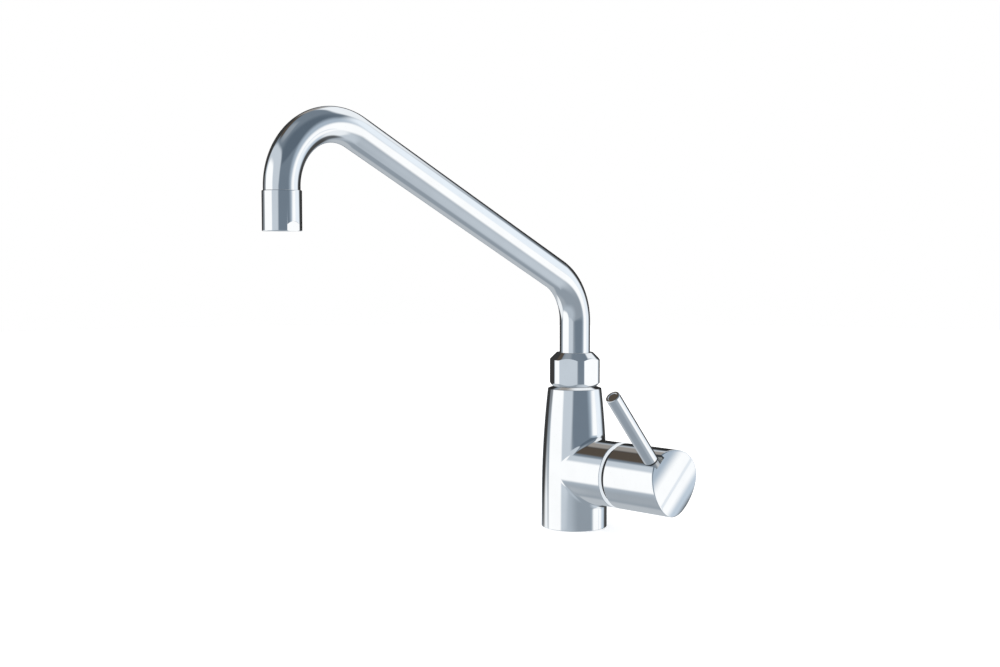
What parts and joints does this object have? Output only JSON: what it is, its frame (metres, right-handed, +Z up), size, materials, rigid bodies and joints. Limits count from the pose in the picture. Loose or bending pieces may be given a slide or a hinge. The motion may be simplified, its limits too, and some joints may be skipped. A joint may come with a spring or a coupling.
{
  "type": "single-lever mixer tap",
  "caption": "Upright single-lever mixer tap with a side handle, a pin lever and a long swivelling high spout with a hooked outlet.",
  "frame": {"origin": "centre of the base, in the plane of its lower face, on the axis of the upright body", "axes": "+Z up along the body and the spout's swivel axis, -Y towards the outlet as stored, +X along the handle's axis"},
  "size_m": [0.1174, 0.2945, 0.2886],
  "materials": {
    "chrome": "polished chrome plate on brass",
    "brass": "machined brass",
    "steel": "bright stainless steel",
    "white_plastic": "natural acetal",
    "rubber": "black sealing rubber"
  },
  "bodies": {
    "root": {"body_casting": "chrome", "swivel_nut": "chrome", "cartridge_housing": "brass", "retaining_nut": "brass", "stem_gland": "brass", "port_sleeve": "brass", "hub_clip": "steel", "gland_clip": "steel", "lower_slip_ring": "white_plastic", "upper_slip_ring": "white_plastic", "thrust_washer": "white_plastic", "trim_ring": "rubber", "base_seal": "rubber", "housing_seal": "rubber", "port_seals": "rubber", "stem_seals": "rubber"},
    "spout": {"spout_tube": "chrome", "spout_collar": "brass", "spout_seals": "rubber", "outlet_sleeve": "chrome", "aerator_body": "white_plastic", "aerator_screen": "steel", "aerator_grid": "white_plastic", "aerator_seal": "rubber"},
    "handle": {"handle_cap": "chrome", "handle_hub": "brass", "lever_carrier": "white_plastic", "fulcrum_pin": "steel", "cap_screw": "steel"},
    "lever": {"lever_rod": "chrome", "lever_knuckle": "brass"},
    "spool": {"spool_stem": "steel", "spool_seals": "rubber"}
  },
  "joints": [
    {"name": "spout_swivel", "type": "hinge", "parent": "root", "child": "spout", "pos_m": [0, 0, 0.116], "axis": [0, 0, 1], "continuous": true},
    {"name": "handle_turn", "type": "hinge", "parent": "root", "child": "handle", "pos_m": [0.053, 0, 0.042], "axis": [1, 0, 0], "range_deg": [-45, 45]},
    {"name": "lever_lift", "type": "hinge", "parent": "handle", "child": "lever", "pos_m": [0.0824, -0.01115, 0.05483], "axis": [0, 0.7547, 0.6561], "range_deg": [0, 25]},
    {"name": "spool_slide", "type": "slide", "parent": "handle", "child": "spool", "axis": [1, 0, 0], "range_m": [-0.0074, 0]}
  ],
  "couplings": [
    {"joint": "spool_slide", "follows": "lever_lift", "m_per_rad": -0.016466}
  ]
}
